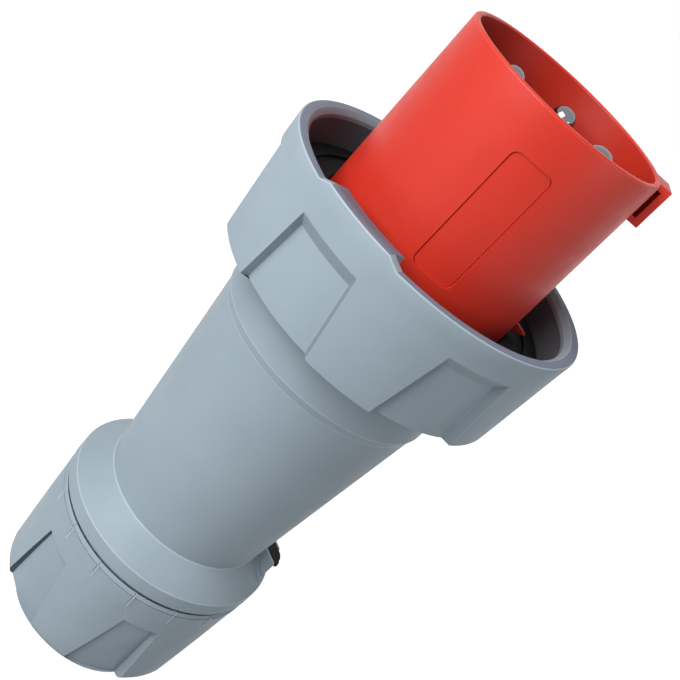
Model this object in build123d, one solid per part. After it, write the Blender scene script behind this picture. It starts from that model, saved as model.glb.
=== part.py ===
"""Industrial pin and sleeve plug, five contacts and a pilot, with a bayonet ring and a cable gland.

Millimetres. Z is the plug's axis, with the pins at the top. Z = 0 is the flat end of the gland nut.
X points to the key on the shroud, which is also where the earth pin and the nut's lock are.
"""
from build123d import *
import os

# Heights along the axis, stacked from the nut's end
nut_length = 47.3
split_gap = 0.4
collar_band_height = 6.1
collar_cone_height = 8.7
body_taper_height = 76.6
body_step_height = 2.8
front_band_height = 30.1
flange_thickness = 7.0
face_seal_thickness = 5.0
shroud_projection = 70.0

collar_base_z = nut_length + split_gap
cone_base_z = collar_base_z + collar_band_height
neck_z = cone_base_z + collar_cone_height
step_base_z = neck_z + body_taper_height
band_base_z = step_base_z + body_step_height
flange_base_z = band_base_z + front_band_height
flange_top_z = flange_base_z + flange_thickness
face_seal_top_z = flange_top_z + face_seal_thickness
rim_z = flange_top_z + shroud_projection

# Shroud and key
shroud_radius = 35.5
shroud_wall = 2.0
rim_round = 0.7
key_width = 10.0
key_length = 13.8
key_reach = 3.8
key_slot_depth = 1.5
key_slot_end = 2.0
panel_width = 14.0
panel_length = 42.0
panel_depth = 0.4
panel_corner = 2.5
panel_below_rim = 13.0
pointer_width = 2.4
pointer_reach = 5.7
pointer_height = 4.4
pointer_above_seal = 1.0
shroud_bore = shroud_radius - shroud_wall

# Contacts
pin_count = 5
pin_circle_inset = 17.2
phase_pin_radius = 4.0
earth_pin_radius = 5.0
pilot_pin_radius = 3.0
pin_shoulder = 0.5
pin_shoulder_length = 0.3
phase_tip_below_rim = 5.0
earth_tip_below_rim = 3.8
pilot_tip_below_rim = 18.0
pin_clearance = 0.1
collar_thickness = 3.0
collar_clearance = 0.15
collar_step = 1.2
terminal_radius = 7.0
terminal_length = 24.0
wire_hole_wall = 2.7
wire_hole_depth = 18.0
terminal_screw_radius = 2.9
terminal_screw_length = 5.5
terminal_screw_spacing = 8.0
terminal_screw_margin = 5.5
pilot_collar_radius = 5.0
pilot_terminal_radius = 4.0
pilot_terminal_length = 16.0
pilot_wire_hole_radius = 1.9
pilot_wire_hole_depth = 10.0
pilot_screw_radius = 1.4
pilot_screw_length = 3.4
pilot_screw_margin = 4.0
screw_end_gap = 0.1
thread_clearance = 0.1
pin_circle_radius = shroud_radius - pin_circle_inset
pin_angles = [360.0 / pin_count * index for index in range(pin_count)]
flange_collar_radius = terminal_radius + collar_step
wire_hole_radius = terminal_radius - wire_hole_wall

# Floor of the carrier and the plate behind it
floor_below_rim = 57.0
floor_thickness = 10.0
pin_boss_height = 1.2
pin_boss_wall = 2.2
retainer_thickness = 5.0
retainer_clearance = 0.2
retainer_edge_inset = 2.1
retainer_screw_inset = 5.4
retainer_screw_radius = 1.5
retainer_screw_head_radius = 2.75
retainer_screw_head_height = 2.2
retainer_screw_length = 12.0
retainer_screw_angles = (108.0, 180.0, 252.0)
floor_top_z = rim_z - floor_below_rim
floor_bottom_z = floor_top_z - floor_thickness
retainer_bottom_z = floor_bottom_z - retainer_thickness
terminal_end_z = floor_bottom_z - terminal_length
pilot_terminal_end_z = floor_bottom_z - pilot_terminal_length
pilot_screw_z = pilot_terminal_end_z + pilot_screw_margin
pin_shoulder_top_z = floor_top_z + pin_boss_height + pin_shoulder_length

# Posts of the housing that take the carrier's screws
post_radius = 3.6
post_inset = 4.0
post_length = 32.0
post_web = 3.0
post_angles = (36.0, 180.0, 324.0)
carrier_screw_radius = 2.0
carrier_screw_head_radius = 3.4
carrier_screw_head_clearance = 0.2
carrier_screw_head_height = 2.6
carrier_screw_depth = 20.0
carrier_screw_recess = 3.4
post_circle_radius = shroud_bore - post_inset
retainer_radius = post_circle_radius - retainer_edge_inset
retainer_screw_circle = retainer_radius - retainer_screw_inset
carrier_seat_z = floor_top_z - carrier_screw_recess

# Seat of the carrier in the housing
carrier_flange_width = 3.5
carrier_flange_thickness = 3.4
carrier_skirt_length = 10.0
seat_clearance = 0.3
o_ring_section_radius = 0.8
o_ring_inset = 1.6
o_ring_groove_play = 0.1
carrier_flange_radius = shroud_radius + carrier_flange_width
carrier_flange_base_z = flange_top_z - carrier_flange_thickness
carrier_skirt_end_z = carrier_flange_base_z - carrier_skirt_length
o_ring_circle_radius = carrier_flange_radius - o_ring_inset

# Housing, from the front band back to the spigot
seat_wall = 4.2
housing_wall = 2.9
step_inset = 0.9
body_taper = 7.7
neck_round = 1.2
collar_rise = 8.9
collar_wall = 2.4
cavity_below_cone = 0.4
cavity_chamfer = 3.6
snap_height = 1.7
snap_length = 3.0
snap_land = 0.6
snap_angle = 16.0
snap_count = 6
front_band_radius = shroud_radius + seat_clearance + seat_wall
step_radius = front_band_radius - step_inset
neck_radius = step_radius - body_taper
collar_radius = neck_radius + collar_rise
cavity_radius = collar_radius - collar_wall

# Locking ring
ring_length = 37.6
ring_front_above_seal = 12.2
ring_front_round = 0.8
ring_front_chamfer = 0.5
ring_running_gap = 0.6
ring_axial_gap = 0.3
snap_cover = 4.7
snap_pocket_gap = 0.5
core_inner_wall = 2.2
core_width = 3.8
core_outer_wall = 2.3
core_roof = 3.2
core_rib_width = 1.8
core_rib_count = 12
ring_taper = 2.2
ring_front_wall = 4.75
ring_bore_taper = 0.55
grip_count = 6
grip_depth = 2.8
grip_front_below = 9.4
grip_front_slope_length = 4.2
grip_front_half_width = 12.2
grip_rear_half_width = 16.1
grip_draft = 10.0
grip_cutter_reach = 10.0
cutter_margin = 5.0
lug_angles = (-118.5, 61.5)
lug_half_width = 12.8
lug_rise = 2.0
lug_ramp_length = 4.2
lug_reach = 5.25
lug_thickness = 5.2
lug_edge_round = 0.5
ring_lip_bore = front_band_radius + ring_running_gap
ring_snap_bore = front_band_radius + snap_height + snap_pocket_gap
core_inner_radius = ring_snap_bore + core_inner_wall
core_outer_radius = core_inner_radius + core_width
ring_rear_radius = core_outer_radius + core_outer_wall + grip_depth
ring_front_radius = ring_rear_radius + ring_taper
ring_front_bore = ring_front_radius - ring_front_wall
ring_inner_bore = ring_front_bore - ring_bore_taper
lug_inner_radius = ring_front_bore - lug_reach
ring_front_z = face_seal_top_z + ring_front_above_seal
ring_base_z = ring_front_z - ring_length
ring_shoulder_z = flange_base_z - ring_axial_gap
ring_lip_z = ring_base_z + snap_cover
ring_cone = ((ring_rear_radius, ring_base_z), (ring_front_radius, ring_front_z))
ring_bore_cone = ((ring_inner_bore, ring_shoulder_z), (ring_front_bore, ring_front_z))
lug_top_z = ring_front_z + lug_rise

# Flange and face seal, which the ring turns round
flange_gap = 0.8
face_seal_inner_gap = 0.3
face_seal_groove_width = 2.4
face_seal_groove_depth = 1.2
flange_radius = ring_inner_bore - flange_gap

# Gland nut and the spigot that it turns on
nut_lip_inset = 0.35
nut_lip_height = 2.2
nut_lip_groove = 0.5
nut_lip_groove_depth = 0.4
nut_lip_step = 0.45
nut_taper = 2.3
nut_end_round = 4.3
nut_end_wall = 6.0
nut_thread_clearance = 0.2
nut_shoulder_below_spigot = 0.4
nut_cone_foot = 1.5
nut_phase = -9.9
nut_grip_count = 6
nut_grip_below_front = 13.8
nut_grip_front_depth = 2.7
nut_grip_rear_depth = 4.6
nut_grip_front_half_width = 6.9
nut_grip_rear_half_width = 11.2
nut_grip_draft = 5.0
nut_grip_cutter_reach = 12.0
nut_rib_count = 16
nut_rib_phase = 5.3
nut_rib_width = 1.1
nut_rib_height = 0.55
nut_rib_length = 6.8
crown_gap = 0.6
crown_wall = 2.8
crown_height = 3.1
crown_notch_width = 3.2
crown_inner_gap = 1.7
spigot_wall = 3.3
spigot_above_wall = 14.0
nut_lip_radius = collar_radius - nut_lip_inset
nut_front_radius = nut_lip_radius - nut_lip_step
nut_rear_radius = nut_front_radius - nut_taper
crown_outer_radius = cavity_radius - crown_gap
crown_inner_radius = crown_outer_radius - crown_wall
spigot_radius = crown_inner_radius - crown_inner_gap
spigot_bore = spigot_radius - spigot_wall
spigot_end_z = nut_end_wall + spigot_above_wall
nut_shoulder_z = spigot_end_z - nut_shoulder_below_spigot

# Cable gland inside the nut
nut_shoulder_inset = 2.0
nut_shoulder_width = 7.0
seal_seat_width = 5.5
seal_seat_height = 3.0
seal_seat_below_collar = 1.7
cable_bore_inset = 5.0
cable_seal_clearance = 0.3
cable_seal_length = 15.8
cable_seal_chamfer = 2.0
cable_seal_groove_depth = 1.6
cable_seal_groove_width = 2.4
cable_seal_groove_count = 2
washer_thickness = 1.6
washer_bore_gap = 1.0
cage_radius_gap = 0.5
cage_bore_gap = 2.1
cage_finger_count = 12
cage_finger_slot = 1.6
cage_finger_gap = 0.7
cage_finger_wall = 3.0
cage_finger_above_wall = 1.5
cage_lead_in = 2.0
cage_seat_gap = 0.2
nut_shoulder_radius = spigot_bore - nut_shoulder_inset
nut_end_hole_radius = nut_shoulder_radius - nut_shoulder_width
nut_cone = ((nut_end_hole_radius + nut_cone_foot, nut_end_wall), (nut_shoulder_radius, nut_shoulder_z))
seal_seat_radius = spigot_bore - seal_seat_width
seal_seat_z = collar_base_z - seal_seat_below_collar
cable_bore_radius = nut_end_hole_radius - cable_bore_inset
cable_seal_base_z = seal_seat_z - cable_seal_length
washer_base_z = cable_seal_base_z - washer_thickness

# Lock on the collar
guide_width = 10.0
guide_wall = 1.2
guide_projection = 6.8
guide_nose_height = 5.5
guide_nose_slope = 0.64
guide_root = 1.0
slider_clearance = 0.2
slider_travel = 4.0
slider_above_cone = 0.5
slider_face_round = 0.9
slider_tail_width = 2.6
slider_tail_inset = 0.3
slider_tail_overlap = 1.5
slider_tail_engagement = 2.9
guide_reach = neck_radius + guide_projection
slider_tail_inner = crown_inner_radius + slider_tail_inset
slider_tail_outer = crown_outer_radius - slider_tail_inset


def turned(points):
    """Full turn about Z of a closed outline given as (radius, height) points."""
    return revolve(outline(points), Axis.Z)


def outline(points):
    """Flat face in the XZ plane from (x, z) points."""
    return make_face(Polyline(*[(x, 0, z) for x, z in points], close=True)).face()


def soften(face, corner, radius):
    """Round the corner of a flat XZ face that lies nearest to (x, z)."""
    vertex = face.vertices().sort_by_distance((corner[0], 0, corner[1]))[0]
    return face.fillet_2d(radius, [vertex])


def block(x_range, y_range, z_range):
    """Box between the given limits."""
    size = [high - low for low, high in (x_range, y_range, z_range)]
    middle = [(high + low) / 2 for low, high in (x_range, y_range, z_range)]
    return Pos(*middle) * Box(*size)


def rod(radius, z_low, z_high):
    """Cylinder on the Z axis between two heights."""
    return Pos(0, 0, (z_low + z_high) / 2) * Cylinder(radius, z_high - z_low)


def round_ring(count, phase=0.0):
    """Equally spaced angles in degrees."""
    return [phase + 360.0 / count * index for index in range(count)]


def at_angle(angle, shape):
    """Turn a shape about Z."""
    return Rot(0, 0, angle) * shape


def side_prism(front_z, front_half, rear_z, rear_half, plane_x, depth, draft):
    """Tapered prism cut inwards from the side, narrow at the front and wide at the rear."""
    side = Plane(origin=(plane_x, 0, 0), x_dir=(0, 1, 0), z_dir=(-1, 0, 0))
    corners = [(-front_half, -front_z), (front_half, -front_z), (rear_half, -rear_z), (-rear_half, -rear_z)]
    return extrude(side * make_face(Polyline(*corners, close=True)), depth, taper=draft)


def line_at(z, low, high):
    """Radius at height z on the straight line between two (radius, height) points."""
    return low[0] + (high[0] - low[0]) * (z - low[1]) / (high[1] - low[1])


def make_contact_carrier():
    """Red moulding: shroud, floor, skirt and seating flange, with the key outside the rim."""
    wall = outline([
        (shroud_bore, carrier_skirt_end_z),
        (shroud_radius, carrier_skirt_end_z),
        (shroud_radius, carrier_flange_base_z),
        (carrier_flange_radius, carrier_flange_base_z),
        (carrier_flange_radius, flange_top_z),
        (shroud_radius, flange_top_z),
        (shroud_radius, rim_z),
        (shroud_bore, rim_z),
    ])
    wall = soften(wall, (shroud_radius, rim_z), rim_round)
    body = revolve(wall, Axis.Z)
    body += rod(shroud_bore + shroud_wall / 4, floor_bottom_z, floor_top_z)

    key = block((shroud_radius - shroud_wall / 2, shroud_radius + key_reach), (-key_width / 2, key_width / 2),
                (rim_z - key_length, rim_z))
    slot = block((0, shroud_radius + key_slot_depth), (-key_width, key_width),
                 (rim_z - key_length + key_slot_end, rim_z - key_slot_end))
    body += key
    body -= slot - rod(shroud_radius, floor_bottom_z, rim_z)

    pointer_z = face_seal_top_z + pointer_above_seal
    tooth = outline([
        (shroud_radius - shroud_wall / 2, pointer_z),
        (shroud_radius + pointer_reach, pointer_z + pointer_height / 2),
        (shroud_radius - shroud_wall / 2, pointer_z + pointer_height),
    ])
    body += extrude(tooth, pointer_width / 2, both=True)

    panel_z = rim_z - panel_below_rim - panel_length / 2
    front = Plane(origin=(0, -shroud_radius - panel_depth, panel_z), x_dir=(1, 0, 0), z_dir=(0, 1, 0))
    stamp = extrude(front * RectangleRounded(panel_width, panel_length, panel_corner), shroud_radius)
    body -= stamp - rod(shroud_radius - panel_depth, floor_bottom_z, rim_z)

    seats = [(angle, pin_circle_radius, flange_collar_radius, phase_pin_radius) for angle in pin_angles[1:]]
    seats.append((pin_angles[0], pin_circle_radius, flange_collar_radius, earth_pin_radius))
    seats.append((0, 0, pilot_collar_radius, pilot_pin_radius))
    boss_top_z = floor_top_z + pin_boss_height
    for angle, distance, collar, radius in seats:
        place = Rot(0, 0, angle) * Pos(distance, 0, 0)
        body += place * rod(radius + pin_boss_wall, floor_bottom_z + collar_thickness, boss_top_z)
        body -= place * rod(radius + pin_shoulder + pin_clearance, floor_bottom_z, boss_top_z)
        body -= place * rod(collar + collar_clearance, floor_bottom_z, floor_bottom_z + collar_thickness)

    for angle in post_angles:
        place = Rot(0, 0, angle) * Pos(post_circle_radius, 0, 0)
        body -= place * rod(carrier_screw_radius + thread_clearance, floor_bottom_z, floor_top_z)
        body -= place * rod(carrier_screw_head_radius + carrier_screw_head_clearance, carrier_seat_z,
                            floor_top_z)
    hole_top_z = retainer_bottom_z + retainer_screw_length + screw_end_gap
    for angle in retainer_screw_angles:
        place = Rot(0, 0, angle) * Pos(retainer_screw_circle, 0, 0)
        body -= place * rod(retainer_screw_radius + thread_clearance, floor_bottom_z, hole_top_z)
    return body


def terminal_screw_heights():
    """Heights of the two clamping screws on a power terminal."""
    low = terminal_end_z + terminal_screw_margin
    return (low, low + terminal_screw_spacing)


def cross_hole(radius, reach, z):
    """Cylinder along X from the axis out to the given reach, at height z."""
    return Pos(reach / 2, 0, z) * Rot(0, 90, 0) * Cylinder(radius, reach)


def make_power_pin(radius, tip_below_rim):
    """Turned brass pin along Z: round tip, contact, shoulder, collar and the terminal for the wire."""
    tip_z = rim_z - tip_below_rim
    pin = rod(radius, floor_bottom_z, tip_z - radius)
    pin += Pos(0, 0, tip_z - radius) * Sphere(radius)
    pin += rod(radius + pin_shoulder, floor_bottom_z, pin_shoulder_top_z)
    pin += rod(flange_collar_radius, floor_bottom_z, floor_bottom_z + collar_thickness)
    pin += rod(terminal_radius, terminal_end_z, floor_bottom_z)
    pin -= rod(wire_hole_radius, terminal_end_z, terminal_end_z + wire_hole_depth)
    for z in terminal_screw_heights():
        pin -= cross_hole(terminal_screw_radius + thread_clearance, 2 * terminal_radius, z)
    return pin


def make_set_screw(radius, length, inner_x, z):
    """Headless clamping screw pointing outwards along X, with a hexagon socket."""
    body = Pos(inner_x + length / 2, 0, z) * Rot(0, 90, 0) * Cylinder(radius, length)
    socket_face = Plane(origin=(inner_x + length, 0, z), x_dir=(0, 1, 0), z_dir=(-1, 0, 0))
    return body - extrude(socket_face * RegularPolygon(radius * 0.58, 6), length * 0.4)


def make_pin_set():
    """The five power pins by name, with the earth pin in line with the key."""
    names = ("pin_earth", "pin_l1", "pin_l2", "pin_l3", "pin_neutral")
    sizes = [(earth_pin_radius, earth_tip_below_rim)] + [(phase_pin_radius, phase_tip_below_rim)] * 4
    pins = {}
    for name, angle, (radius, tip_below_rim) in zip(names, pin_angles, sizes):
        pins[name] = at_angle(angle, Pos(pin_circle_radius, 0, 0) * make_power_pin(radius, tip_below_rim))
    return pins


def make_pilot_pin():
    """Short middle pin with a small terminal."""
    tip_z = rim_z - pilot_tip_below_rim
    pin = rod(pilot_pin_radius, floor_bottom_z, tip_z - pilot_pin_radius)
    pin += Pos(0, 0, tip_z - pilot_pin_radius) * Sphere(pilot_pin_radius)
    pin += rod(pilot_pin_radius + pin_shoulder, floor_bottom_z, pin_shoulder_top_z)
    pin += rod(pilot_collar_radius, floor_bottom_z, floor_bottom_z + collar_thickness)
    pin += rod(pilot_terminal_radius, pilot_terminal_end_z, floor_bottom_z)
    pin -= rod(pilot_wire_hole_radius, pilot_terminal_end_z, pilot_terminal_end_z + pilot_wire_hole_depth)
    hole = cross_hole(pilot_screw_radius + thread_clearance, 2 * pilot_terminal_radius, pilot_screw_z)
    return pin - at_angle(post_angles[1], hole)


def make_terminal_screws():
    """Ten clamping screws, two for each power terminal."""
    inner_x = wire_hole_radius + screw_end_gap
    pair = [make_set_screw(terminal_screw_radius, terminal_screw_length, inner_x, z)
            for z in terminal_screw_heights()]
    screws = [at_angle(angle, Pos(pin_circle_radius, 0, 0) * screw) for angle in pin_angles for screw in pair]
    return Compound(children=screws)


def make_pilot_screw():
    """Clamping screw of the pilot terminal, turned to the gap between two power terminals."""
    screw = make_set_screw(pilot_screw_radius, pilot_screw_length, pilot_wire_hole_radius + screw_end_gap,
                           pilot_screw_z)
    return at_angle(post_angles[1], screw)


def make_pin_retainer():
    """Plate that passes over the terminals and traps the pins' collars."""
    plate = rod(retainer_radius, retainer_bottom_z, floor_bottom_z)
    holes = [(angle, pin_circle_radius, terminal_radius + retainer_clearance) for angle in pin_angles]
    holes.append((0, 0, pilot_terminal_radius + retainer_clearance))
    holes += [(angle, post_circle_radius, post_radius + 2 * retainer_clearance) for angle in post_angles]
    holes += [(angle, retainer_screw_circle, retainer_screw_radius + thread_clearance)
              for angle in retainer_screw_angles]
    for angle, distance, radius in holes:
        plate -= at_angle(angle, Pos(distance, 0, 0) * rod(radius, retainer_bottom_z, floor_bottom_z))
    return plate


def make_headed_screw(radius, head_radius, head_height, seat_z, end_z, head_side):
    """Screw on Z with a chamfered head and a cross slot; head_side is +1 above the seat or -1 below it."""
    top_z = seat_z + head_side * head_height
    shank = rod(radius, min(seat_z, end_z), max(seat_z, end_z))
    head = rod(head_radius, min(seat_z, top_z), max(seat_z, top_z))
    rims = head.edges().filter_by(GeomType.CIRCLE).sort_by(Axis.Z)
    head = chamfer(rims[-1] if head_side > 0 else rims[0], head_height * 0.35)
    slots = Box(head_radius * 1.2, radius * 0.35, head_height) + Box(radius * 0.35, head_radius * 1.2, head_height)
    return head - Pos(0, 0, top_z) * slots + shank


def make_retainer_screws():
    """Three screws that hold the plate to the carrier, with their heads at the rear."""
    screw = make_headed_screw(retainer_screw_radius, retainer_screw_head_radius, retainer_screw_head_height,
                              retainer_bottom_z, retainer_bottom_z + retainer_screw_length, -1)
    return Compound(children=[at_angle(angle, Pos(retainer_screw_circle, 0, 0) * screw)
                              for angle in retainer_screw_angles])


def make_carrier_screws():
    """Three screws through the carrier's floor into the housing's posts."""
    screw = make_headed_screw(carrier_screw_radius, carrier_screw_head_radius, carrier_screw_head_height,
                              carrier_seat_z, floor_bottom_z - carrier_screw_depth, +1)
    return Compound(children=[at_angle(angle, Pos(post_circle_radius, 0, 0) * screw) for angle in post_angles])


def make_carrier_o_ring():
    """O-ring in its groove under the carrier's flange."""
    return Pos(0, 0, carrier_flange_base_z - o_ring_section_radius) * Torus(o_ring_circle_radius,
                                                                            o_ring_section_radius)


def make_face_seal():
    """Flat rubber seal on the housing's flange, around the foot of the shroud."""
    inner = shroud_radius + face_seal_inner_gap
    middle = (inner + flange_radius) / 2
    groove_floor_z = face_seal_top_z - face_seal_groove_depth
    return turned([
        (inner, flange_top_z),
        (flange_radius, flange_top_z),
        (flange_radius, face_seal_top_z),
        (middle + face_seal_groove_width / 2, face_seal_top_z),
        (middle + face_seal_groove_width / 2, groove_floor_z),
        (middle - face_seal_groove_width / 2, groove_floor_z),
        (middle - face_seal_groove_width / 2, face_seal_top_z),
        (inner, face_seal_top_z),
    ])


def nose_height(x):
    """Height of the latch guide's sloping front at distance x from the axis."""
    return neck_z + guide_nose_height - guide_nose_slope * (x - neck_radius)


def make_housing():
    """Grey tapered body with flange, collar, latch guide, screw posts and the gland's spigot."""
    cavity_top_z = cone_base_z - cavity_below_cone
    seal_seat_top_z = seal_seat_z + seal_seat_height
    band_inner = front_band_radius - housing_wall
    seat_end_z = carrier_skirt_end_z - seat_clearance
    shell = outline([
        (spigot_bore, spigot_end_z),
        (spigot_radius, spigot_end_z),
        (spigot_radius, cavity_top_z + cavity_chamfer),
        (cavity_radius - cavity_chamfer, cavity_top_z + cavity_chamfer),
        (cavity_radius, cavity_top_z),
        (cavity_radius, collar_base_z),
        (collar_radius, collar_base_z),
        (collar_radius, cone_base_z),
        (neck_radius, neck_z),
        (step_radius, step_base_z),
        (front_band_radius, band_base_z),
        (front_band_radius, flange_base_z),
        (flange_radius, flange_base_z),
        (flange_radius, flange_top_z),
        (carrier_flange_radius + seat_clearance, flange_top_z),
        (carrier_flange_radius + seat_clearance, carrier_flange_base_z),
        (shroud_radius + seat_clearance, carrier_flange_base_z),
        (shroud_radius + seat_clearance, seat_end_z),
        (band_inner, seat_end_z - housing_wall),
        (band_inner, band_base_z),
        (step_radius - housing_wall, step_base_z),
        (neck_radius - housing_wall, neck_z),
        (neck_radius - housing_wall, seal_seat_top_z),
        (seal_seat_radius, seal_seat_top_z),
        (seal_seat_radius, seal_seat_z),
        (spigot_bore, seal_seat_z),
    ])
    shell = soften(shell, (neck_radius, neck_z), neck_round)
    body = revolve(shell, Axis.Z)
    groove = o_ring_section_radius + o_ring_groove_play
    body -= turned([
        (o_ring_circle_radius - groove, carrier_flange_base_z),
        (o_ring_circle_radius + groove, carrier_flange_base_z),
        (o_ring_circle_radius + groove, carrier_flange_base_z - 2 * o_ring_section_radius),
        (o_ring_circle_radius - groove, carrier_flange_base_z - 2 * o_ring_section_radius),
    ])

    snap_front_z = ring_lip_z - ring_axial_gap
    snap_root = front_band_radius - housing_wall / 3
    snap = outline([
        (snap_root, snap_front_z),
        (front_band_radius + snap_height, snap_front_z),
        (front_band_radius + snap_height, snap_front_z - snap_land),
        (front_band_radius, snap_front_z - snap_length),
        (snap_root, snap_front_z - snap_length),
    ])
    for angle in round_ring(snap_count, 180.0 / snap_count):
        body += at_angle(angle - snap_angle / 2, revolve(snap, Axis.Z, snap_angle))

    post_end_z = floor_bottom_z - post_length
    hole_end_z = floor_bottom_z - carrier_screw_depth - screw_end_gap
    for angle in post_angles:
        place = Rot(0, 0, angle) * Pos(post_circle_radius, 0, 0)
        body += place * rod(post_radius, post_end_z, floor_bottom_z)
        body += at_angle(angle, block((post_circle_radius, front_band_radius - housing_wall / 2),
                                      (-post_web / 2, post_web / 2), (post_end_z, seat_end_z - housing_wall)))
        body -= place * rod(carrier_screw_radius + thread_clearance, hole_end_z, floor_bottom_z)

    root = neck_radius - guide_root
    cheek = extrude(outline([
        (root, nose_height(root)),
        (guide_reach, nose_height(guide_reach)),
        (guide_reach, cone_base_z + guide_root),
        (root, neck_z - guide_root),
    ]), guide_wall / 2, both=True)
    side = (guide_width - guide_wall) / 2
    body += Pos(0, side, 0) * cheek
    body += Pos(0, -side, 0) * cheek
    half_slot = slider_tail_width / 2 + slider_clearance
    body -= block((slider_tail_inner - slider_clearance, slider_tail_outer + slider_clearance),
                  (-half_slot, half_slot), (collar_base_z, neck_z))
    return body


def make_lock_slider():
    """Black slider between the cheeks, with a tail that reaches a notch in the nut's crown."""
    half = guide_width / 2 - guide_wall - slider_clearance
    inner_x = neck_radius + guide_root
    outer_x = guide_reach - slider_clearance
    cone_slope = collar_cone_height / collar_rise
    rear_inner_z = neck_z - (inner_x - neck_radius) * cone_slope + slider_travel + slider_above_cone
    rear_outer_z = neck_z - (outer_x - neck_radius) * cone_slope + slider_travel + slider_above_cone
    head = extrude(outline([
        (inner_x, nose_height(inner_x)),
        (outer_x, nose_height(outer_x)),
        (outer_x, rear_outer_z),
        (inner_x, rear_inner_z),
    ]), half, both=True)
    head = fillet(head.edges().filter_by(Axis.Y).sort_by(Axis.X)[-2:], slider_face_round)
    tail_end_z = nut_length + crown_height + slider_travel - slider_tail_engagement
    tail = block((slider_tail_inner, slider_tail_outer), (-slider_tail_width / 2, slider_tail_width / 2),
                 (tail_end_z, rear_outer_z + slider_tail_overlap))
    return head + tail


def make_lug_shelf():
    """Bayonet shelf at angle 0: it starts inside the ring's wall and reaches inwards."""
    root = (ring_front_bore + ring_front_radius) / 2
    shelf = outline([
        (lug_inner_radius, lug_top_z - lug_thickness),
        (root, lug_top_z - lug_thickness),
        (root, lug_top_z),
        (lug_inner_radius, lug_top_z),
    ])
    shelf = revolve(soften(shelf, (lug_inner_radius, lug_top_z), lug_edge_round), Axis.Z)
    return shelf & block((lug_inner_radius - cutter_margin, root), (-lug_half_width, lug_half_width),
                         (lug_top_z - lug_thickness, lug_top_z))


def make_front_cutter():
    """What is cut off the ring's raised front between the two lugs, with a ramp beside each of them."""
    top_z = lug_top_z + cutter_margin
    reach = ring_front_radius + cutter_margin
    cutter = turned([
        (lug_inner_radius, ring_front_z),
        (ring_front_radius - ring_front_chamfer, ring_front_z),
        (reach, ring_front_z - cutter_margin - ring_front_chamfer),
        (reach, top_z),
        (lug_inner_radius, top_z),
    ])
    base_z = ring_front_z - 2 * cutter_margin
    rise = (top_z - ring_front_z) / lug_rise * lug_ramp_length
    foot = lug_half_width + lug_ramp_length
    side = Plane(origin=(lug_inner_radius - cutter_margin, 0, 0), x_dir=(0, 1, 0), z_dir=(1, 0, 0))
    kept = make_face(Polyline((-foot, base_z), (foot, base_z), (foot, ring_front_z), (foot - rise, top_z),
                              (rise - foot, top_z), (-foot, ring_front_z), close=True))
    kept = extrude(side * kept, reach)
    for angle in lug_angles:
        cutter -= at_angle(angle, kept)
    return cutter


def make_locking_ring():
    """Grey bayonet ring: grip pockets open at the rear, two raised lugs at the front."""
    body = outline([
        (ring_snap_bore, ring_base_z),
        (ring_rear_radius, ring_base_z),
        (line_at(lug_top_z, *ring_cone), lug_top_z),
        (line_at(lug_top_z, *ring_bore_cone), lug_top_z),
        (ring_inner_bore, ring_shoulder_z),
        (ring_lip_bore, ring_shoulder_z),
        (ring_lip_bore, ring_lip_z),
        (ring_snap_bore, ring_lip_z),
    ])
    body = soften(body, (line_at(lug_top_z, *ring_cone), lug_top_z), ring_front_round)
    ring = revolve(body, Axis.Z) - make_front_cutter()
    shelf = make_lug_shelf()
    for angle in lug_angles:
        ring += at_angle(angle, shelf)

    front_z = ring_front_z - grip_front_below
    floor_front_z = front_z - grip_front_slope_length
    floor_front_radius = line_at(floor_front_z, *ring_cone) - grip_depth
    reach = ring_front_radius + cutter_margin
    slope = grip_front_slope_length / grip_depth
    scoop = turned([
        (ring_rear_radius - grip_depth, ring_base_z - cutter_margin),
        (reach, ring_base_z - cutter_margin),
        (reach, floor_front_z + slope * (reach - floor_front_radius)),
        (floor_front_radius, floor_front_z),
        (ring_rear_radius - grip_depth, ring_base_z),
    ])
    widening = cutter_margin * (grip_rear_half_width - grip_front_half_width) / (front_z - ring_base_z)
    grip = scoop & side_prism(front_z + cutter_margin, grip_front_half_width - widening,
                              ring_base_z - cutter_margin, grip_rear_half_width + widening,
                              ring_front_radius, grip_cutter_reach, grip_draft)
    for angle in round_ring(grip_count):
        ring -= at_angle(angle, grip)

    core_top_z = ring_shoulder_z - core_roof
    core = turned([
        (core_inner_radius, ring_base_z),
        (core_outer_radius, ring_base_z),
        (core_outer_radius, core_top_z),
        (core_inner_radius, core_top_z),
    ])
    rib = block((core_inner_radius - core_width, core_outer_radius + core_width),
                (-core_rib_width / 2, core_rib_width / 2), (ring_base_z, core_top_z))
    for angle in round_ring(core_rib_count, 180.0 / core_rib_count):
        core -= at_angle(angle, rib)
    return ring - core


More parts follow.
